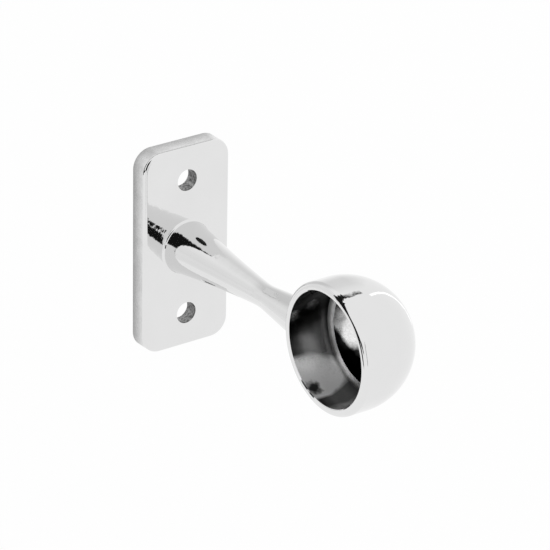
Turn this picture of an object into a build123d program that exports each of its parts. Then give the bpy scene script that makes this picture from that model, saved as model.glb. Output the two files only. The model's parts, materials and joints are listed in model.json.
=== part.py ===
from build123d import *
import math
import os

# Pole end bracket: wall plate, waisted arm and domed pole socket, cast in one piece.
# Sizes are in millimetres. The origin is the centre of the plate's back face, +Y points
# into the wall, +Z is up and the pole lies along X, pushed in from the -X side.

# Wall plate
plate_width = 22.3
plate_height = 47.7
plate_thickness = 4.5
plate_corner_radius = 4.3
plate_edge_radius = 0.8

# Pockets in the plate's back, one round each screw hole
pocket_depth = 1.2
pocket_rim = 2.0

# Screw holes, one above and one below the arm
screw_diameter = 4.5
screw_clearance = 0.5
screw_spacing = 32.0

# Pole socket
pole_diameter = 25.0
pole_clearance = 0.5
socket_wall = 1.85
barrel_length = 5.5
bore_depth = 10.2
dome_wall = 3.0
lip_edge_radius = 1.2
bore_edge_bevel = 0.2

# Arm
wall_to_pole = 62.3
arm_base_radius = 6.1
arm_root_radius = 0.6
waist_radius = 2.58
waist_distance = 29.8
waist_curve_radius = 22.0
taper_hollow = 0.3
flare_radius = 4.25
lip_land = 0.65

# Sizes that follow from those above
plate_face = -plate_thickness
hole_radius = (screw_diameter + screw_clearance) / 2
bore_radius = (pole_diameter + pole_clearance) / 2
socket_radius = bore_radius + socket_wall
mouth = -(flare_radius + lip_land)
dome_centre = mouth + barrel_length
ledge = mouth + bore_depth
cavity_radius = socket_radius - dome_wall
ledge_radius = math.sqrt(cavity_radius**2 - (ledge - dome_centre) ** 2)
pocket_width = plate_width - 2 * pocket_rim
pocket_height = plate_height / 2 - pocket_rim - arm_base_radius
pocket_middle = arm_base_radius + pocket_height / 2


def wall_plate():
    """Flat plate with round corners, softened front edges, two screw holes and two back pockets."""
    outline = RectangleRounded(plate_width, plate_height, plate_corner_radius)
    plate = extrude(Plane.XZ * outline, plate_thickness)
    front = plate.faces().sort_by(Axis.Y).first
    plate = fillet(front.edges(), plate_edge_radius)
    for height in (-screw_spacing / 2, screw_spacing / 2):
        hole = Plane.XZ * Pos(0, height) * Circle(hole_radius)
        plate -= extrude(hole, plate_thickness)
    for height in (-pocket_middle, pocket_middle):
        pocket = RectangleRounded(pocket_width, pocket_height, plate_corner_radius - pocket_rim)
        plate -= extrude(Plane.XZ * Pos(0, height) * pocket, pocket_depth)
    return plate


def arm():
    """Turned arm: a long hollow taper down to the waist, then a short flare into the socket."""
    waist = plate_face - waist_distance
    socket_side = -wall_to_pole + socket_radius
    arm_end = -wall_to_pole + bore_radius - socket_wall
    flare_slope = (flare_radius - waist_radius) / (waist - socket_side)
    end_radius = flare_radius + flare_slope * (socket_side - arm_end)
    base_corner = (arm_base_radius, plate_face)
    waist_corner = (waist_radius, waist)
    end_corner = (end_radius, arm_end)
    outline = [
        Line((0, plate_face), base_corner),
        SagittaArc(base_corner, waist_corner, -taper_hollow),
        Line(waist_corner, end_corner),
        Polyline(end_corner, (0, arm_end), (0, plate_face)),
    ]
    profile = make_face(outline)
    corner = profile.vertices().sort_by_distance(waist_corner).first
    profile = fillet(corner, waist_curve_radius)
    return revolve(profile, Axis.Y)


def socket_shell():
    """Outside of the socket: a short barrel closed by half a ball, with a rounded lip."""
    lip_corner = (mouth, socket_radius)
    dome_start = (dome_centre, socket_radius)
    dome_tip = (dome_centre + socket_radius, 0)
    outline = [
        Polyline((mouth, 0), lip_corner, dome_start),
        RadiusArc(dome_start, dome_tip, socket_radius),
        Line(dome_tip, (mouth, 0)),
    ]
    profile = make_face(outline)
    corner = profile.vertices().sort_by_distance(lip_corner).first
    profile = fillet(corner, lip_edge_radius)
    return Pos(0, -wall_to_pole, 0) * revolve(profile, Axis.X)


def socket_hollow():
    """Inside of the socket: the bore, the ledge that stops the pole and the domed hollow behind it."""
    opening = mouth - socket_wall
    ledge_corner = (ledge, ledge_radius)
    hollow_tip = (dome_centre + cavity_radius, 0)
    outline = [
        Polyline((opening, 0), (opening, bore_radius), (ledge, bore_radius), ledge_corner),
        RadiusArc(ledge_corner, hollow_tip, cavity_radius),
        Line(hollow_tip, (opening, 0)),
    ]
    return Pos(0, -wall_to_pole, 0) * revolve(make_face(outline), Axis.X)


def circle_at(body, centre, radius):
    """The body's round edge nearest to the given centre and radius."""
    rings = body.edges().filter_by(GeomType.CIRCLE)
    return min(rings, key=lambda ring: abs(ring.arc_center - Vector(centre)) + abs(ring.radius - radius))


bracket = wall_plate() + arm() + socket_shell()
arm_root = circle_at(bracket, (0, plate_face, 0), arm_base_radius)
bracket = fillet(arm_root, arm_root_radius)
bracket -= socket_hollow()
bore_rim = circle_at(bracket, (mouth, -wall_to_pole, 0), bore_radius)
bracket = chamfer(bore_rim, bore_edge_bevel)

os.makedirs("parts", exist_ok=True)
export_step(bracket, "parts/bracket.step")
print("bracket", bracket.bounding_box(), "volume", round(bracket.volume, 1))
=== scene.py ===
# %% [markdown]
# # Pole end bracket
#
# This lesson dresses a small chrome bracket. It is one casting: a flat wall plate with two
# screw holes, a waisted arm, and a domed socket that takes the end of a pole. The casting is
# polished and then plated, so nearly everything you see on it is a reflection.
#
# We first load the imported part. It is the frame that all the rest has to fit: the origin is
# the centre of the plate's back face, +Y points into the wall and the pole lies along X.

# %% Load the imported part
import json
import math

import bmesh
import bpy
from mathutils import Matrix, Vector


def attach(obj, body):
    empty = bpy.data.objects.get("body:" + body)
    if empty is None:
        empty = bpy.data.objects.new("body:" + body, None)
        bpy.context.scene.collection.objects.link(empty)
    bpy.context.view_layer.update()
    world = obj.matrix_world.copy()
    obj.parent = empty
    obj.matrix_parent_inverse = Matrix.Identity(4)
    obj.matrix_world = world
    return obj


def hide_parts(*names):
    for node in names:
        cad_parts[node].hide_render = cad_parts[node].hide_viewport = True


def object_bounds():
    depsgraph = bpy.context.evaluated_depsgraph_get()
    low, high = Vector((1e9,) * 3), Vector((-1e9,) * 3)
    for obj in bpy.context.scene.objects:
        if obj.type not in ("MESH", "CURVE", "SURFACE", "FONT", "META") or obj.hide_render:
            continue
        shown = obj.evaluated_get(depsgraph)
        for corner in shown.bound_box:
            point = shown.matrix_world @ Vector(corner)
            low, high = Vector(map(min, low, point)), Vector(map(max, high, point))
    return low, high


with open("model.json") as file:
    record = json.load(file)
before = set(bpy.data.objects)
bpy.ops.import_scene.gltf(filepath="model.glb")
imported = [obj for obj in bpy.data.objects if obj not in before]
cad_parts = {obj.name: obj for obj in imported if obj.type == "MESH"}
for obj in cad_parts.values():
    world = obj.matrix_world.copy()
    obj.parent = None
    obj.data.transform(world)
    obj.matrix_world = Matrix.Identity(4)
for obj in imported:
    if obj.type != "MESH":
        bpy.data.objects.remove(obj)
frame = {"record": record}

cad_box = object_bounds()
print("packed part, low and high corner in metres:", *cad_box)

# %% [markdown]
# ## Sizes
#
# Many sizes can be read from the frame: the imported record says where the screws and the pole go,
# and the part's box gives the outside of the plate and of the dome. What is left, such as wall
# thicknesses and roundings, is written in millimetres at the step that needs it.

# %% Read the frame
MM = 0.001
low, high = cad_box
mounts = {mount["name"]: mount for mount in frame["record"]["mounts"]}
for name, mount in mounts.items():
    print(name, "at", mount["pos_m"], mount["dims"])

# %% [markdown]
# ## The wall plate
#
# The plate is a flat bar with round corners. Its front edge is softened, as polishing always
# does to a casting, and its back edge stays crisp because it lies on the wall. A cube with two
# bevels gives this: first the four corners, then the edge all round the front. Operators act on
# whatever is selected, so the edges are chosen in code, by where they are.

# %% Model the plate
plate_width = -2 * low.x
plate_height = high.z - low.z
plate_face = mounts["wall_screws"]["pos_m"][1]
plate_corner_radius = 4.3 * MM
plate_edge_radius = 0.8 * MM

SAME_POINT = 0.001 * MM
CORNER_STEPS = 20
EDGE_STEPS = 8


def choose(kind, test):
    """In edit mode, selects the edges or faces whose centre passes the test, and counts them."""
    bpy.ops.mesh.select_all(action="DESELECT")
    bpy.ops.mesh.select_mode(type=kind)
    mesh = bmesh.from_edit_mesh(bpy.context.object.data)
    chosen = 0
    for part in mesh.edges if kind == "EDGE" else mesh.faces:
        centre = sum((vertex.co for vertex in part.verts), Vector()) / len(part.verts)
        if test(part, centre):
            part.select_set(True)
            chosen += 1
    mesh.select_flush_mode()
    bmesh.update_edit_mesh(bpy.context.object.data)
    return chosen


def round_cornered_block(name, width, height, middle, front, back, corner_radius):
    """A block between two distances along Y, with its four corners rounded."""
    bpy.ops.object.select_all(action="DESELECT")
    bpy.ops.mesh.primitive_cube_add(size=1, location=(0, (front + back) / 2, middle))
    block = bpy.context.object
    block.name = name
    block.scale = (width, back - front, height)
    bpy.ops.object.transform_apply(location=True, scale=True)
    bpy.ops.object.mode_set(mode="EDIT")
    choose("EDGE", lambda edge, centre: abs(edge.verts[0].co.y - edge.verts[1].co.y) > SAME_POINT)
    bpy.ops.mesh.bevel(offset=corner_radius, segments=CORNER_STEPS, affect="EDGES")
    bpy.ops.object.mode_set(mode="OBJECT")
    return block


bracket = round_cornered_block(
    "plated_bracket",
    plate_width,
    plate_height,
    middle=0,
    front=plate_face,
    back=0,
    corner_radius=plate_corner_radius,
)
bpy.ops.object.mode_set(mode="EDIT")
front_edges = choose("EDGE", lambda edge, centre: centre.y < plate_face + SAME_POINT)
bpy.ops.mesh.bevel(offset=plate_edge_radius, segments=EDGE_STEPS, affect="EDGES")
bpy.ops.object.mode_set(mode="OBJECT")
print(f"plate {plate_width / MM:.1f} x {plate_height / MM:.1f} mm, {front_edges} front edges rounded")

# %% [markdown]
# ## Two pins for the screw holes
#
# Round pieces are made as on a lathe: one point is drawn along the section, and then the section
# is spun about its axis. A section drawn this way can be checked against a drawing, which is
# harder with a scaled cylinder. The first things we turn are two pins that will cut the screw
# holes. They stick out of the plate on both sides, so that the cut is clean.

# %% Turn the pins
screw_spacing = mounts["wall_screws"]["dims"]["spacing_y_mm"] * MM
hole_radius = mounts["wall_screws"]["dims"]["hole_r_mm"] * MM

HOLE_STEPS = 72
OVERRUN = 1.0 * MM


def turned(name, section, centre, axis, steps):
    """Spins a section, given as points in space, once round an axis."""
    bpy.ops.object.select_all(action="DESELECT")
    bpy.ops.mesh.primitive_plane_add(size=MM, enter_editmode=True, location=(0, 0, 0))
    piece = bpy.context.object
    piece.name = name
    bpy.ops.mesh.select_mode(type="VERT")
    bpy.ops.mesh.merge(type="CENTER")
    bpy.ops.transform.translate(value=section[0])
    for here, there in zip(section, section[1:]):
        bpy.ops.mesh.extrude_vertices_move(TRANSFORM_OT_translate={"value": there - here})
    bpy.ops.mesh.select_all(action="SELECT")
    bpy.ops.mesh.spin(steps=steps, angle=math.tau, center=centre, axis=axis)
    bpy.ops.mesh.select_all(action="SELECT")
    bpy.ops.mesh.remove_doubles(threshold=SAME_POINT)
    bpy.ops.mesh.normals_make_consistent(inside=False)
    bpy.ops.object.mode_set(mode="OBJECT")
    print(f"{name}: {len(piece.data.vertices)} points, {len(piece.data.polygons)} faces")
    return piece


def pin(name, radius, back, height, steps):
    """A turned pin that sticks out of the plate's front and ends at a distance along Y."""
    front = plate_face - OVERRUN
    outline = [(0, back), (radius, back), (radius, front), (0, front)]
    section = [Vector((across, y, height)) for across, y in outline]
    return turned(name, section, (0, 0, height), (0, 1, 0), steps)


hole_pins = [
    pin("hole_pin", hole_radius, OVERRUN, side * screw_spacing / 2, HOLE_STEPS) for side in (-1, 1)
]

# %% [markdown]
# ## Screw holes and pockets
#
# Each pin cuts a plain hole. Round the holes the back of the plate is hollowed out, as die
# castings are, to save metal and to let the plate sit firmly on its rim. That is why the holes
# look shallower than the plate is thick. A band as high as the arm's root is left standing
# behind the arm.

# %% Cut the screw holes and the pockets
arm_base_radius = 6.1 * MM
pocket_depth = 1.2 * MM
pocket_rim = 2.0 * MM
pocket_height = plate_height / 2 - pocket_rim - arm_base_radius


def select_only(piece):
    """Makes one object the only selected one, and the active one."""
    bpy.ops.object.select_all(action="DESELECT")
    piece.select_set(True)
    bpy.context.view_layer.objects.active = piece


def cut_or_join(piece, tool, operation):
    """Cuts a tool out of a piece, or joins it on, and takes the tool away."""
    select_only(piece)
    boolean = piece.modifiers.new(operation.lower(), "BOOLEAN")
    boolean.operation = operation
    boolean.solver = "EXACT"
    boolean.object = tool
    bpy.ops.object.modifier_apply(modifier=boolean.name)
    bpy.data.objects.remove(tool)
    print(f"{piece.name} after {operation.lower()}: {len(piece.data.polygons)} faces")


def pocket_tool(side):
    """A block that cuts the pocket above the arm, on side 1, or below it, on side -1."""
    return round_cornered_block(
        "pocket_tool",
        plate_width - 2 * pocket_rim,
        pocket_height,
        middle=side * (arm_base_radius + pocket_height / 2),
        front=-pocket_depth,
        back=OVERRUN,
        corner_radius=plate_corner_radius - pocket_rim,
    )


for side, hole_pin in zip((-1, 1), hole_pins):
    cut_or_join(bracket, hole_pin, "DIFFERENCE")
    cut_or_join(bracket, pocket_tool(side), "DIFFERENCE")

# %% [markdown]
# ## The arm
#
# The arm is a long hollow taper that narrows to a waist and then flares into the socket. We draw
# half its section. The taper is a very flat arc, given by its two ends and by how far it bows
# inwards between them, and the flare is a straight line from the waist to the socket.

# %% Draw the taper and the flare
pole_place = mounts["pole_socket"]["pos_m"][1]
socket_radius = pole_place - low.y
waist_radius = 2.58 * MM
waist_distance = 29.8 * MM
taper_hollow = 0.3 * MM
flare_radius = 4.25 * MM

# in these points the first number is the radius and the second the distance from the wall
face_out = -plate_face
base_point = Vector((arm_base_radius, face_out))
waist_point = Vector((waist_radius, face_out + waist_distance))
socket_point = Vector((flare_radius, -pole_place - socket_radius))

chord = waist_point - base_point
taper_radius = chord.length_squared / (8 * taper_hollow) + taper_hollow / 2
chord_normal = Vector((chord.y, -chord.x)).normalized()
taper_centre = (base_point + waist_point) / 2 + chord_normal * (taper_radius - taper_hollow)

flare = (socket_point - waist_point).normalized()
flare_normal = Vector((flare.y, -flare.x))
print(f"taper {chord.length / MM:.1f} mm long, bent to a radius of {taper_radius / MM:.0f} mm")

# %% [markdown]
# Two roundings make the arm flow: a wide bend at the waist and a small one where the arm leaves
# the plate. A rounding's centre is found as you would with compasses: step away from one line by
# the rounding's radius, and go along until the distance to the other curve is right too.

# %% Round the waist and the root
waist_curve_radius = 22.0 * MM
arm_root_radius = 0.6 * MM


def along_to_circle(start, direction, centre, radius):
    """The point on a line, nearest to its start, that is a given distance from a centre."""
    direction = direction.normalized()
    offset = start - centre
    half = offset.dot(direction)
    root = math.sqrt(half**2 - offset.length_squared + radius**2)
    return start + direction * min(-half - root, -half + root, key=abs)


waist_centre = along_to_circle(
    waist_point + flare_normal * waist_curve_radius,
    flare,
    taper_centre,
    taper_radius - waist_curve_radius,
)
waist_start = taper_centre + (waist_centre - taper_centre).normalized() * taper_radius
waist_end = waist_centre - flare_normal * waist_curve_radius

root_centre = along_to_circle(
    base_point + Vector((arm_root_radius, arm_root_radius)),
    Vector((1, 0)),
    taper_centre,
    taper_radius - arm_root_radius,
)
root_start = root_centre - Vector((0, arm_root_radius))
root_end = taper_centre + (root_centre - taper_centre).normalized() * taper_radius
print(f"waist bends from {waist_start.y / MM:.1f} to {waist_end.y / MM:.1f} mm from the wall")

# %% [markdown]
# The section is strung together from these curves, each tangent to the next. It ends inside the
# socket's wall, so that the arm and the socket overlap and can be joined cleanly.

# %% String the arm's section together
bore_radius = mounts["pole_socket"]["dims"]["r_mm"] * MM
wall_behind_arm = 0.3 * (socket_radius - bore_radius)

ROOT_STEPS = 8
TAPER_STEPS = 18
WAIST_STEPS = 8
FLARE_STEPS = 5


def arc_between(centre, start, end, steps):
    """Points on a circle from start to end, the short way round, both ends included."""
    first = start - centre
    turn = first.angle_signed(end - centre)
    return [centre + Matrix.Rotation(-turn * step / steps, 2) @ first for step in range(steps + 1)]


end_out = -pole_place - bore_radius - wall_behind_arm
arm_end = waist_end + flare * (end_out - waist_end.y) / flare.y

arm_outline = arc_between(root_centre, root_start, root_end, ROOT_STEPS)
arm_outline += arc_between(taper_centre, root_end, waist_start, TAPER_STEPS)[1:]
arm_outline += arc_between(waist_centre, waist_start, waist_end, WAIST_STEPS)[1:]
arm_outline += [waist_end.lerp(arm_end, step / FLARE_STEPS) for step in range(1, FLARE_STEPS + 1)]
arm_outline += [Vector((0, end_out))]
narrowest = min(point.x for point in arm_outline[:-1])
print(f"arm section: {len(arm_outline)} points, narrowest radius {narrowest / MM:.2f} mm")

# %% [markdown]
# The arm grows out of the plate with no seam. We cut a round seat in the plate with the same
# number of steps as the arm, throw the seat's faces away, and merge the arm's first ring into
# the rim that is left. The two rings then share their points, and the metal is one skin.

# %% Grow the arm out of the plate
ARM_STEPS = 192

seat_pin = pin("seat_pin", root_start.x, plate_face / 2, 0, ARM_STEPS)
cut_or_join(bracket, seat_pin, "DIFFERENCE")

arm_section = [Vector((point.x, -point.y, 0)) for point in arm_outline]
arm = turned("arm", arm_section, (0, 0, 0), (0, 1, 0), ARM_STEPS)


def in_seat(face, centre):
    """True for the faces of the round seat, in the front half of the plate."""
    inside = math.hypot(centre.x, centre.z) < root_start.x + SAME_POINT
    return inside and plate_face + SAME_POINT < centre.y < plate_face / 2 + SAME_POINT


select_only(bracket)
bpy.ops.object.mode_set(mode="EDIT")
seat_faces = choose("FACE", in_seat)
bpy.ops.mesh.delete(type="FACE")
bpy.ops.object.mode_set(mode="OBJECT")
arm.select_set(True)
bpy.ops.object.join()
bpy.ops.object.mode_set(mode="EDIT")
bpy.ops.mesh.select_all(action="SELECT")
bpy.ops.mesh.remove_doubles(threshold=SAME_POINT)
bpy.ops.mesh.normals_make_consistent(inside=False)
bpy.ops.object.mode_set(mode="OBJECT")
print("seat faces replaced by the arm:", seat_faces)

# %% [markdown]
# ## The pole socket
#
# Outside, the socket is a short barrel closed by half a ball. Inside, a straight bore takes the
# pole, a ledge stops it, and behind the ledge the casting is hollowed out to save metal. All of
# that is one section, drawn from the tip of the dome round the lip and back to the hollow's tip.

# %% Turn the socket and join it on
barrel_length = 5.5 * MM
bore_depth = 10.2 * MM
dome_wall = 3.0 * MM
lip_radius = 1.2 * MM
bore_bevel = 0.2 * MM

dome_centre = high.x - socket_radius
mouth = dome_centre - barrel_length
ledge = mouth + bore_depth
hollow_radius = socket_radius - dome_wall
ledge_radius = math.sqrt(hollow_radius**2 - (ledge - dome_centre) ** 2)

DOME_STEPS = 56
LIP_STEPS = 24
HOLLOW_STEPS = 40
SOCKET_STEPS = 256

# here the first number is the place along the pole and the second the radius
ball_centre = Vector((dome_centre, 0))
dome_tip = Vector((dome_centre + socket_radius, 0))
dome_start = Vector((dome_centre, socket_radius))
lip_centre = Vector((mouth + lip_radius, socket_radius - lip_radius))
lip_top = lip_centre + Vector((0, lip_radius))
lip_front = lip_centre - Vector((lip_radius, 0))
ledge_edge = Vector((ledge, ledge_radius))
hollow_tip = Vector((dome_centre + hollow_radius, 0))

socket_outline = arc_between(ball_centre, dome_tip, dome_start, DOME_STEPS)
socket_outline += arc_between(lip_centre, lip_top, lip_front, LIP_STEPS)
socket_outline += [
    Vector((mouth, bore_radius + bore_bevel)),
    Vector((mouth + bore_bevel, bore_radius)),
    Vector((ledge, bore_radius)),
]
socket_outline += arc_between(ball_centre, ledge_edge, hollow_tip, HOLLOW_STEPS)
socket_section = [Vector((point.x, pole_place - point.y, 0)) for point in socket_outline]
socket = turned("socket", socket_section, (0, pole_place, 0), (1, 0, 0), SOCKET_STEPS)
cut_or_join(bracket, socket, "UNION")

# %% [markdown]
# Polished metal shows every fault in its normals. The corners between two surfaces stay sharp,
# everything else is smooth, and the Weighted Normal modifier lets large faces win over small
# ones, so that the flat plate really reflects like a flat mirror right up to its rounded edge.

# %% Smooth the skin
SHARP_ANGLE = math.radians(28)

select_only(bracket)
bpy.ops.object.mode_set(mode="EDIT")
bpy.ops.mesh.select_all(action="SELECT")
bpy.ops.mesh.remove_doubles(threshold=SAME_POINT)
bpy.ops.mesh.normals_make_consistent(inside=False)
bpy.ops.object.mode_set(mode="OBJECT")
bpy.ops.object.shade_smooth_by_angle(angle=SHARP_ANGLE)
weighted = bracket.modifiers.new("even_normals", "WEIGHTED_NORMAL")
weighted.keep_sharp = True
bpy.ops.object.modifier_apply(modifier=weighted.name)

check = bmesh.new()
check.from_mesh(bracket.data)
open_edges = sum(not edge.is_manifold for edge in check.edges)
volume = check.calc_volume() / MM**3
print(f"bracket: {len(check.faces)} faces, {open_edges} open edges, {volume:.0f} mm3")
check.free()

# %% [markdown]
# ## Mixing a finish
#
# Shader nodes are easier to read as sums. This class holds one output of a node, and adds a Math
# node for each operator used on it. Every other node comes from `node`, which takes the node's
# type, then its settings, then the values or links of its sockets.


# %% A small language for shader nodes
class Tone:
    """One output of a shader node, which can be used in sums."""

    def __init__(self, tree, socket):
        self.tree = tree
        self.socket = socket

    def sum_node(self, operation, first, second):
        """A Math node on two values."""
        return node(self.tree, "ShaderNodeMath", {"operation": operation}, {0: first, 1: second})

    def __add__(self, other):
        return self.sum_node("ADD", self, other)

    def __radd__(self, other):
        return self.sum_node("ADD", other, self)

    def __sub__(self, other):
        return self.sum_node("SUBTRACT", self, other)

    def __rsub__(self, other):
        return self.sum_node("SUBTRACT", other, self)

    def __mul__(self, other):
        return self.sum_node("MULTIPLY", self, other)

    def __rmul__(self, other):
        return self.sum_node("MULTIPLY", other, self)

    def __abs__(self):
        return node(self.tree, "ShaderNodeMath", {"operation": "ABSOLUTE"}, {0: self})


def node(tree, kind, settings, sockets, output=0):
    """Adds one node to a tree and returns the chosen output as a Tone."""
    made = tree.nodes.new(kind)
    for name, value in settings.items():
        setattr(made, name, value)
    for name, value in sockets.items():
        if isinstance(value, Tone):
            tree.links.new(value.socket, made.inputs[name])
        else:
            made.inputs[name].default_value = value
    return Tone(tree, made.outputs[output]) if made.outputs else None


def empty_tree(holder):
    """Turns on a material's or world's nodes and clears them."""
    holder.use_nodes = True
    holder.node_tree.nodes.clear()
    return holder.node_tree


print("a Tone can be added, taken away, multiplied and made positive")

# %% [markdown]
# ## Bright plating
#
# Chromium is a little darker than a silver mirror and a neutral grey. The plating follows
# the casting under it, so the mirror is never perfect: there is a soft ripple a millimetre or two
# long, and a fine peel that you only notice as a faint softness. The colour drifts a little too,
# where the plating is thinner.

# %% Mix the bright plating
DRIFT_LENGTH = 9 * MM
RIPPLE_LENGTH = 1.6 * MM
PEEL_LENGTH = 0.35 * MM
RIPPLE_DEPTH = 0.022 * MM


def noise(tree, place, length, detail):
    """Even noise whose blotches are about one length across, in metres."""
    sockets = {"Vector": place, "Scale": 1 / length, "Detail": detail, "Roughness": 0.5}
    return node(tree, "ShaderNodeTexNoise", {}, sockets)


def neutral(level):
    """A grey of the given lightness, as a colour."""
    return (level, level, level, 1)


def blend_colours(tree, amount, first, second):
    """One colour where the amount is 0, the other where it is 1."""
    settings = {"data_type": "RGBA"}
    return node(tree, "ShaderNodeMix", settings, {0: amount, 6: first, 7: second}, output=2)


def metal(tree, colour, roughness, height, depth):
    """Closes a tree with bare metal whose bumps are as deep as the given depth."""
    relief = {"Strength": 1.0, "Distance": depth, "Height": height}
    bump = node(tree, "ShaderNodeBump", {}, relief)
    surface = {"Base Color": colour, "Metallic": 1.0, "Roughness": roughness, "Normal": bump}
    shader = node(tree, "ShaderNodeBsdfPrincipled", {}, surface)
    node(tree, "ShaderNodeOutputMaterial", {}, {"Surface": shader})


def bright_plating():
    """Polished chromium over a die casting."""
    material = bpy.data.materials.new("bright_plating")
    tree = empty_tree(material)
    place = node(tree, "ShaderNodeTexCoord", {}, {}, output="Object")
    drift = noise(tree, place, DRIFT_LENGTH, 2)
    ripple = noise(tree, place, RIPPLE_LENGTH, 1)
    peel = noise(tree, place, PEEL_LENGTH, 2)
    colour = blend_colours(tree, drift, neutral(0.745), neutral(0.79))
    metal(tree, colour, 0.02 + drift * 0.03, ripple * 0.9 + peel * 0.1, RIPPLE_DEPTH)
    return material


bracket.data.materials.clear()
bracket.data.materials.append(bright_plating())
print("plating mixed:", [material.name for material in bracket.data.materials])

# %% [markdown]
# ## Unpolished plating
#
# Only what shows from the front is polished. The rest keeps the skin that the casting had when
# it left the mould, so the plating there is grainy. All these finishes are built alike: a map
# of how light the metal is, a map of how dull it is, and a fine grain in both. The back of the
# plate, which nobody sees, is the plainest of them: it is satin all over and needs no map.

# %% Mix plating over a grainy skin
CLOUD_LENGTH = 2.5 * MM
GRAIN_LENGTH = 0.4 * MM


def grainy_plating(name, lightness, dullness, grain_depth):
    """Plating over a cast skin. Lightness and dullness are functions of a tree and a place in it."""
    material = bpy.data.materials.new(name)
    tree = empty_tree(material)
    place = node(tree, "ShaderNodeTexCoord", {}, {}, output="Object")
    cloud = noise(tree, place, CLOUD_LENGTH, 3)
    grain = noise(tree, place, GRAIN_LENGTH, 3)
    level = lightness(tree, place) * (0.6 + cloud * 0.4 + grain * 0.4)
    colour = node(tree, "ShaderNodeCombineColor", {}, {0: level, 1: level, 2: level})
    metal(tree, colour, dullness(tree, place) * (0.75 + cloud * 0.5), grain, grain_depth)
    return material


def even(level):
    """A map that is the same all over."""
    return lambda tree, place: level


back_plating = grainy_plating("back_plating", even(0.40), even(0.36), grain_depth=0.02 * MM)
print("mixed", back_plating.name)

# %% [markdown]
# ## The plate's sides and back
#
# The plate's sides lie between the two finishes. The polishing wheel comes round the front edge
# and fades out towards the wall, so they run from mirror to satin over a few millimetres. The
# top side carries painted light, so it is the lightest of them. Each finish goes to the faces
# that a test picks out by place, as you would mask them for a plating bath.

# %% Plate the sides and the back
def ramp(tree, amount, between, gives):
    """Goes evenly from one given value to the other while the amount crosses a range."""
    start, end = between
    first, last = gives
    return node(tree, "ShaderNodeMapRange", {}, {0: amount, 1: start, 2: end, 3: first, 4: last})


def along(tree, place, axis):
    """One of the three coordinates of a place."""
    return node(tree, "ShaderNodeSeparateXYZ", {}, {0: place}, output=axis)


def polish_on_side(tree, place):
    """0 at the wall, 1 where the rounding of the front edge begins."""
    return ramp(tree, along(tree, place, "Y"), (0.0, plate_face + plate_edge_radius), (0.0, 1.0))


def painted_top_light(tree, place):
    """1 on the side at the top of the plate, 0 below its round corners: where painted light goes."""
    top = plate_height / 2
    return ramp(tree, along(tree, place, "Z"), (top - plate_corner_radius, top), (0.0, 1.0))


def side_lightness(tree, place):
    """Lighter towards the front edge, with painted light on the top side."""
    # the top side's extra 0.18 is painted light
    return 0.36 + polish_on_side(tree, place) * 0.32 + painted_top_light(tree, place) * 0.18


def side_dullness(tree, place):
    """Satin at the wall, nearly a mirror at the front edge."""
    return 0.36 - polish_on_side(tree, place) * 0.26


def on_side(face, centre):
    """True for the plate's sides, behind the rounding of the front edge."""
    beside = abs(centre.x) > plate_width / 2 - plate_corner_radius
    above_or_below = abs(centre.z) > plate_height / 2 - pocket_rim
    level = abs(face.normal.y) < SAME_POINT
    between = plate_face + plate_edge_radius < centre.y < -SAME_POINT
    return (beside or above_or_below) and level and between


def on_back(face, centre):
    """True for the plate's back face and the two pockets in it."""
    return centre.y > -pocket_depth - SAME_POINT


def plate_faces(finish, test):
    """Gives one finish to the faces that pass the test."""
    bracket.data.materials.append(finish)
    select_only(bracket)
    bpy.ops.object.mode_set(mode="EDIT")
    chosen = choose("FACE", test)
    bracket.active_material_index = len(bracket.data.materials) - 1
    bpy.ops.object.material_slot_assign()
    bpy.ops.object.mode_set(mode="OBJECT")
    print(finish.name, "on", chosen, "faces")


side_plating = grainy_plating(
    "side_plating", side_lightness, side_dullness, grain_depth=0.015 * MM
)
plate_faces(side_plating, on_side)
plate_faces(back_plating, on_back)

# %% [markdown]
# ## The screw holes
#
# In the screw holes the plating is blotchy, and painted shade makes it darkest at the top of each
# hole.
# One of those painted dark tops shows as a small black spot on the arm. The holes lie one spacing
# apart, so the remainder of a division by that spacing gives the height within either of them.

# %% Plate the screw holes
BLOTCH_LENGTH = 0.5 * MM


def hole_lightness_and_painted_shade(tree, place):
    """Painted shade: fades from the bottom of each screw hole to a dark top."""
    height = along(tree, place, "Z") + screw_spacing
    in_hole = node(tree, "ShaderNodeMath", {"operation": "MODULO"}, {0: height, 1: screw_spacing})
    bottom = screw_spacing / 2 - hole_radius
    top = screw_spacing / 2 + hole_radius
    blotches = ramp(tree, noise(tree, place, BLOTCH_LENGTH, 2), (0.35, 0.65), (0.4, 1.6))
    # painted shade, darkest at the top of each hole, times the real blotches
    return ramp(tree, in_hole, (bottom, top), (0.27, 0.01)) * blotches


def in_screw_hole(face, centre):
    """True for the walls of the two screw holes."""
    from_axis = math.hypot(centre.x, abs(centre.z) - screw_spacing / 2)
    in_plate = plate_face + SAME_POINT < centre.y < -pocket_depth
    return in_plate and from_axis < hole_radius + SAME_POINT


hole_plating = grainy_plating("hole_plating", hole_lightness_and_painted_shade, even(0.25), grain_depth=0.10 * MM)
plate_faces(hole_plating, in_screw_hole)

# %% [markdown]
# ## The bore
#
# The deep bore's colour is painted light and shade. Low on the side of the arm and low at
# the front the bore is painted bright, and it is dull where no polishing wheel reached. The rest
# of it is painted dark, and the top is almost black but for two small painted light patches. Near
# the lip there is one painted dark reflection. Seen along the pole the zones are a matter of the
# angle round it, which we get by measuring along a line from the axis to the middle of each zone.

# %% Plate the bore
# centres of the painted light zones and of the dull zone, as angles round the bore
BACK_PAINTED_LIGHT = math.radians(54)
DULL_SPOT = math.radians(74)
FRONT_PAINTED_LIGHT = math.radians(131)
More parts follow.
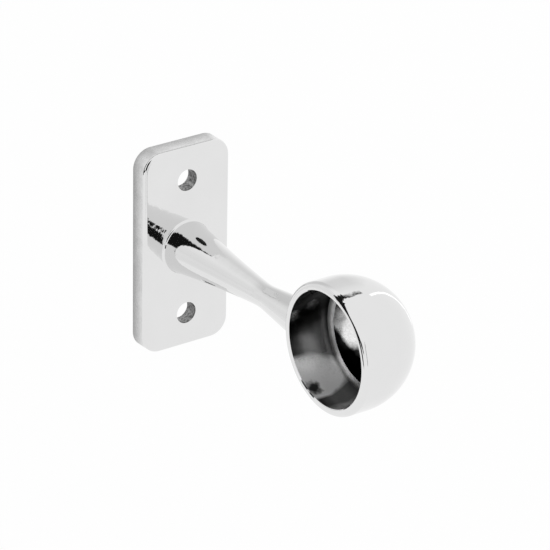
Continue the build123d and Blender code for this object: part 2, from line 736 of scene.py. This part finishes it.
# a painted dark reflection near the lip, and two painted light patches at the top
DARK_REFLECTION_SPOT = (-3.2 * MM, pole_place + 5.5 * MM, -11.5 * MM)
PAINTED_LIGHT_PATCHES = [
    (-3.5 * MM, pole_place + 12.5 * MM, 2.6 * MM),
    (0.6 * MM, pole_place + 12.0 * MM, 4.2 * MM),
]
LIGHT_IN_DARK_REFLECTION = 0.04


def nearness(tree, place, spot):
    """1 at an angle round the bore, counted down from the arm's side, and less away from it."""
    toward_wall = (along(tree, place, "Y") - pole_place) * (math.cos(spot) / bore_radius)
    downward = along(tree, place, "Z") * (math.sin(spot) / bore_radius)
    return toward_wall - downward


def ragged(tree, place, length, detail, depth):
    """Added to a distance, it moves an edge to and fro by up to half the depth."""
    return (noise(tree, place, length, detail) - 0.5) * depth


def away_from(tree, place, spot, between):
    """Goes from 0 to 1 between two distances from a spot, with a ragged edge."""
    settings = {"operation": "DISTANCE"}
    distance = node(tree, "ShaderNodeVectorMath", settings, {0: place, 1: spot}, output="Value")
    distance = distance + ragged(tree, place, 1.2 * MM, detail=2, depth=2.0 * MM)
    return ramp(tree, distance, between, (0.0, 1.0))


def unpolished_with_painted_light(tree, place):
    """1 low in the bore, where no polishing wheel reached and painted light is added, and 0 well away
    from there.
    """
    return ramp(tree, nearness(tree, place, DULL_SPOT), (0.72, 0.99), (0.0, 1.0))


def bore_painted_light_and_shade(tree, place):
    """Painted light near the two bright spots and the patches, painted shade elsewhere, in the dark
    reflection and on top.
    """
    at_back = nearness(tree, place, BACK_PAINTED_LIGHT)
    at_front = nearness(tree, place, FRONT_PAINTED_LIGHT)
    depth = along(tree, place, "X")
    # painted reflection: broad light towards the back, dimmer near the mouth and near the ledge
    broad = ramp(tree, at_back, (0.42, 0.62), (0.03, 0.25))
    broad = broad * ramp(tree, depth, (mouth + 0.8 * MM, mouth + 3.5 * MM), (0.25, 1.0))
    broad = broad * ramp(tree, depth, (ledge - 3.0 * MM, ledge - 0.5 * MM), (1.0, 0.5))
    # painted light low on the arm's side, brighter near the mouth and where the bore is dull
    narrowing = ramp(tree, depth, (mouth + 4.0 * MM, ledge), (0.0, 0.07))
    low_back = ramp(tree, at_back - narrowing, (0.895, 0.93), (0.0, 0.50))
    low_back = low_back * (1 + unpolished_with_painted_light(tree, place) * 0.6)
    low_back = low_back * ramp(tree, depth, (mouth + 0.8 * MM, mouth + 5.0 * MM), (1.4, 1.0))
    # painted dark reflection near the lip
    outside_dark_reflection = away_from(tree, place, DARK_REFLECTION_SPOT, (0.9 * MM, 2.3 * MM))
    lightness = (broad + low_back) * (LIGHT_IN_DARK_REFLECTION + outside_dark_reflection * (1 - LIGHT_IN_DARK_REFLECTION))
    # painted light low at the front
    lightness = lightness + ramp(tree, at_front, (0.80, 0.90), (0.0, 0.50))
    # two small painted light patches near the top, which is otherwise painted dark
    for patch in PAINTED_LIGHT_PATCHES:
        lightness = lightness + (1 - away_from(tree, place, patch, (0.0, 1.7 * MM))) * 0.85
    return lightness


def bore_dullness(tree, place):
    """Dullest low down."""
    return 0.22 + unpolished_with_painted_light(tree, place) * 0.38


def in_bore(face, centre):
    """True for the straight bore."""
    from_axis = math.hypot(centre.y - pole_place, centre.z)
    in_depth = mouth + bore_bevel < centre.x < ledge - SAME_POINT
    return in_depth and from_axis < bore_radius + SAME_POINT


bore_plating = grainy_plating(
    "bore_plating", bore_painted_light_and_shade, bore_dullness, grain_depth=0.008 * MM
)
plate_faces(bore_plating, in_bore)

# %% [markdown]
# ## The ledge
#
# The ledge that stops the pole is a flat ring. Painted shade makes it darkest in the corner with
# the bore, and painted light makes it lightest near its inner edge, so its map goes by the distance
# from the pole's axis. It is dull at the top and shinier low down.

# %% Plate the ledge
def ledge_painted_light_and_shade(tree, place):
    """Painted shade in the corner with the bore, painted light towards the ledge's inner edge."""
    toward_wall = along(tree, place, "Y") - pole_place
    across = {0: 0.0, 1: toward_wall, 2: along(tree, place, "Z")}
    flat_place = node(tree, "ShaderNodeCombineXYZ", {}, across)
    settings = {"operation": "LENGTH"}
    from_axis = node(tree, "ShaderNodeVectorMath", settings, {0: flat_place}, output="Value")
    # painted shade at the bore's corner, painted light at the inner edge
    return ramp(tree, from_axis, (bore_radius - 0.4 * MM, ledge_radius + 0.8 * MM), (0.45, 1.0))


def ledge_dullness(tree, place):
    """Dull at the top, shinier low down."""
    return ramp(tree, along(tree, place, "Z"), (-8.0 * MM, -1.0 * MM), (0.45, 1.0))


def on_ledge(face, centre):
    """True for the flat ledge that stops the pole."""
    from_axis = math.hypot(centre.y - pole_place, centre.z)
    return abs(centre.x - ledge) < SAME_POINT and from_axis < bore_radius


ledge_plating = grainy_plating(
    "ledge_plating", ledge_painted_light_and_shade, ledge_dullness, grain_depth=0.02 * MM
)
plate_faces(ledge_plating, on_ledge)

# %% [markdown]
# ## The hollow
#
# Behind the ledge the hollow carries a painted reflection: bright at its top and almost black lower
# down. The edge between the two is ragged and slants, so the map adds noise to the height and tilts
# it with the depth.

# %% Plate the hollow
SLANT = 2.1


def hollow_painted_reflection(tree, place):
    """A painted reflection: bright above a ragged line that dips from the ledge towards the tip of the
    dome.
    """
    height = along(tree, place, "Z") + ragged(tree, place, 1.5 * MM, detail=3, depth=1.8 * MM)
    slanting = height + along(tree, place, "X") * SLANT
    # painted reflection: bright top, nearly black lower down
    low_down = ramp(tree, height, (-6.4 * MM, -4.2 * MM), (0.02, 0.85))
    return low_down * ramp(tree, slanting, (9.4 * MM, 10.8 * MM), (0.02, 1.0))


def in_hollow(face, centre):
    """True for the domed hollow behind the ledge."""
    from_middle = (centre - Vector((dome_centre, pole_place, 0))).length
    return centre.x > ledge + SAME_POINT and from_middle < hollow_radius + SAME_POINT


hollow_plating = grainy_plating(
    "hollow_plating", hollow_painted_reflection, even(0.20), grain_depth=0.004 * MM
)
plate_faces(hollow_plating, in_hollow)

# %% [markdown]
# ## Standing in for the casting
#
# The new skin takes the place of the plain solid and moves with the same body.

# %% Put the skin in the place of the solid
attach(bracket, "root")
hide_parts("bracket")
print(bracket.name, "stands for the solid")

# %% [markdown]
# ## The camera
#
# A long lens from the front left, a little above. The bracket's origin sits left of the middle
# of the picture, so the camera stands to the side by that much and still looks straight ahead.

# %% Place the camera
PICTURE_SIZE = 550
SENSOR_WIDTH = 36.0
camera_azimuth = math.radians(-35.95)
camera_elevation = math.radians(25.33)
camera_roll = math.radians(1.10)
camera_distance = 0.850
pixels_per_metre = 4545.8
origin_in_picture = (175.23, 239.71)


def toward(azimuth, elevation):
    """A direction from the bracket: azimuth 0 is straight out of the wall, 90 is along +X."""
    level = math.cos(elevation)
    return Vector((math.sin(azimuth) * level, -math.cos(azimuth) * level, math.sin(elevation)))


back = toward(camera_azimuth, camera_elevation)
level_right = Vector((math.cos(camera_azimuth), math.sin(camera_azimuth), 0))
roll = Matrix.Rotation(camera_roll, 3, back)
right = roll @ level_right
up = roll @ back.cross(level_right)
aside = (PICTURE_SIZE / 2 - origin_in_picture[0]) / pixels_per_metre
above = (origin_in_picture[1] - PICTURE_SIZE / 2) / pixels_per_metre

camera_data = bpy.data.cameras.new("camera")
camera_data.sensor_width = SENSOR_WIDTH
camera_data.lens = pixels_per_metre * camera_distance * SENSOR_WIDTH / PICTURE_SIZE
camera = bpy.data.objects.new("camera", camera_data)
bpy.context.scene.collection.objects.link(camera)
camera.matrix_world = Matrix((right, up, back)).transposed().to_4x4()
camera.location = back * camera_distance + right * aside + up * above
bpy.context.scene.camera = camera
print(f"lens {camera_data.lens:.0f} mm, camera at", camera.location)

# %% [markdown]
# ## The studio
#
# Chrome is photographed in a white tent, because it shows the whole room. The world is plain
# white to the camera and to the metal, and lights the bracket softly from all sides.

# %% Build the white tent
TENT_LEVEL = 1.0

bpy.context.scene.view_settings.view_transform = "Standard"
world = bpy.data.worlds.new("tent")
bpy.context.scene.world = world
world_tree = empty_tree(world)
tent_sockets = {"Color": neutral(1.0), "Strength": TENT_LEVEL}
tent_light = node(world_tree, "ShaderNodeBackground", {}, tent_sockets)
node(world_tree, "ShaderNodeOutputWorld", {}, {"Surface": tent_light})
print("tent at level", TENT_LEVEL)

# %% [markdown]
# The floor is white paper, far below the bracket. To the eye and to the metal it is mostly plain
# white like the tent, so that no horizon cuts the picture. A small share of its real light is
# kept, and with it the soft shadow.

# %% Lay the floor
FLOOR_DROP = 0.30
FLOOR_SIZE = 8.0
FIBRE_LENGTH = 0.02
PLAIN_SHARE = 0.94


def seen_directly(tree):
    """1 for rays from the camera or from polished or clear things, 0 for soft light."""
    names = ("Is Camera Ray", "Is Glossy Ray", "Is Transmission Ray")
    rays = [node(tree, "ShaderNodeLightPath", {}, {}, output=name) for name in names]
    return rays[0] + rays[1] + rays[2]


def floor_paper():
    """White paper: mostly plain white to the eye, with some of the real light and shadow on it."""
    material = bpy.data.materials.new("floor_paper")
    tree = empty_tree(material)
    place = node(tree, "ShaderNodeTexCoord", {}, {}, output="Object")
    fibre = noise(tree, place, FIBRE_LENGTH, 2)
    colour = blend_colours(tree, fibre, neutral(0.96), neutral(0.99))
    paper = node(tree, "ShaderNodeBsdfDiffuse", {}, {"Color": colour})
    white = node(tree, "ShaderNodeEmission", {}, {"Color": neutral(1.0), "Strength": 1.0})
    mix = {0: seen_directly(tree) * PLAIN_SHARE, 1: paper, 2: white}
    surface = node(tree, "ShaderNodeMixShader", {}, mix)
    node(tree, "ShaderNodeOutputMaterial", {}, {"Surface": surface})
    return material


bpy.ops.object.select_all(action="DESELECT")
bpy.ops.mesh.primitive_plane_add(size=FLOOR_SIZE, location=(0, 0, low.z - FLOOR_DROP))
floor = bpy.context.object
floor.name = "floor"
floor.data.materials.append(floor_paper())
print("floor at", floor.location.z)

# %% [markdown]
# ## Black cards
#
# A white tent alone makes chrome look like grey plastic. Black cards put dark lines into the
# reflections, above all on the lip and on the barrel above it. Each card is given by the part of
# the metal's view that it covers, in degrees, and fades out softly at its edges. The camera
# doesn't see the cards, and they throw no shadow.

# %% Hang the black cards
UNEVEN_LENGTH = 0.2


def card_paint(name, level, side_fade, end_fade):
    """Paint for a card: one level of light, fading out over shares of its width and its height."""
    material = bpy.data.materials.new(name)
    tree = empty_tree(material)
    place = node(tree, "ShaderNodeTexCoord", {}, {}, output="Object")
    cover = ramp(tree, abs(along(tree, place, "X")), (0.5 - side_fade, 0.5), (1.0, 0.0))
    cover = cover * ramp(tree, abs(along(tree, place, "Y")), (0.5 - end_fade, 0.5), (1.0, 0.0))
    uneven = noise(tree, place, UNEVEN_LENGTH, 2)
    colour = blend_colours(tree, uneven, neutral(level * 0.9), neutral(level * 1.1))
    paint = node(tree, "ShaderNodeEmission", {}, {"Color": colour})
    clear = node(tree, "ShaderNodeBsdfTransparent", {}, {})
    surface = node(tree, "ShaderNodeMixShader", {}, {0: cover, 1: clear, 2: paint})
    node(tree, "ShaderNodeOutputMaterial", {}, {"Surface": surface})
    return material


def face_bracket(thing, azimuth, elevation, distance, turn):
    """Hangs a card or lamp in a direction from the socket, facing it."""
    out = toward(math.radians(azimuth), math.radians(elevation))
    thing.location = Vector((0, pole_place, 0)) + out * distance
    spin = Matrix.Rotation(math.radians(turn), 3, "Z").to_quaternion()
    thing.rotation_euler = (out.to_track_quat("Z", "Y") @ spin).to_euler()


def span(degrees, distance):
    """The width that covers an angle at a distance."""
    return 2 * distance * math.tan(math.radians(degrees) / 2)


def card(name, paint, azimuth, elevation, across, tall, distance=1.2, turn=0):
    """A flat card, hidden from the camera but not from the metal."""
    bpy.ops.object.select_all(action="DESELECT")
    bpy.ops.mesh.primitive_plane_add(size=1)
    made = bpy.context.object
    made.name = name
    made.scale = (span(across, distance), span(tall, distance), 1)
    face_bracket(made, azimuth, elevation, distance, turn)
    made.data.materials.append(paint)
    made.visible_camera = False
    made.visible_shadow = False
    return made


black = card_paint("black_card", level=0.01, side_fade=0.06, end_fade=0.06)
black_cards = [
    card("dark_beside_camera", black, azimuth=-26.5, elevation=1, across=6, tall=26),
    card("dark_beside_camera_top", black, azimuth=-20.7, elevation=19, across=14, tall=5, turn=45),
    card("left_post", black, azimuth=-116, elevation=12.5, across=22, tall=60, distance=0.32, turn=-6),
    card("left_foot", black, azimuth=-94, elevation=-1, across=46, tall=14, distance=0.65),
    card("left_bar", black, azimuth=-127, elevation=59, across=46, tall=12, turn=-66),
    card("top_bar", black, azimuth=150, elevation=71.6, across=27, tall=9, turn=40),
    card("right_bar", black, azimuth=138, elevation=66.6, across=38, tall=8.5, turn=52),
]
print("black cards:", [made.name for made in black_cards])

# %% [markdown]
# Two more black cards, the flags, stand close to the bracket. What they throw into the metal
# differs from place to place, so each serves one spot: the first makes the black patch at the
# root of the arm, the second the lower end of the black line on the lip.

# %% Stand two flags beside the bracket
def upright(name, paint, start, end, bottom, top):
    """A card that stands upright on a line between two places, given as x and y."""
    made = card(name, paint, azimuth=0, elevation=0, across=1, tall=1)
    line = Vector(end) - Vector(start)
    middle = (Vector(start) + Vector(end)) / 2
    made.location = (middle.x, middle.y, (bottom + top) / 2)
    made.rotation_euler = (math.pi / 2, 0, math.atan2(line.y, line.x))
    made.scale = (line.length, top - bottom, 1)
    print(f"{name}: {line.length / MM:.0f} x {(top - bottom) / MM:.0f} mm")


upright("flag_beside_arm", black, (-0.031, -0.063), (-0.082, -0.039), bottom=0.015, top=0.095)
upright("flag_beside_lip", black, (-0.0488, -0.0653), (-0.038, -0.0441), bottom=-0.018, top=0.009)

# %% [markdown]
# ## Grey cards and a lamp
#
# A large grey card behind the bracket shades the tops of the plate, the arm and the barrel a
# little, and a pale one shades the arm's near side. That makes them look round. The cards' edges
# are so soft that they draw no line. A narrow soft lamp gives the dome its one bright streak.

# %% Hang the grey cards and the lamp
def soft_lamp(name, level, azimuth, elevation, across, tall, distance=0.5, turn=0):
    """A rectangular lamp whose face is about as bright as the level, where 1 is white."""
    lamp = bpy.data.lights.new(name, "AREA")
    lamp.shape = "RECTANGLE"
    lamp.size = span(across, distance)
    lamp.size_y = span(tall, distance)
    lamp.energy = level * math.pi * lamp.size * lamp.size_y
    made = bpy.data.objects.new(name, lamp)
    bpy.context.scene.collection.objects.link(made)
    face_bracket(made, azimuth, elevation, distance, turn)
    made.visible_camera = False
    print(f"{name}: {lamp.size / MM:.0f} x {lamp.size_y / MM:.0f} mm, {lamp.energy:.3f} W")


grey = card_paint("grey_card", level=0.71, side_fade=0.35, end_fade=0.35)
pale = card_paint("pale_card", level=0.90, side_fade=0.22, end_fade=0.25)
card("grey_wall", grey, azimuth=172, elevation=26, across=80, tall=66)
card("pale_wall", pale, azimuth=-134, elevation=6, across=54, tall=72, distance=0.7)
soft_lamp("dome_strip", level=0.4, azimuth=115, elevation=14, across=3, tall=66, turn=12)
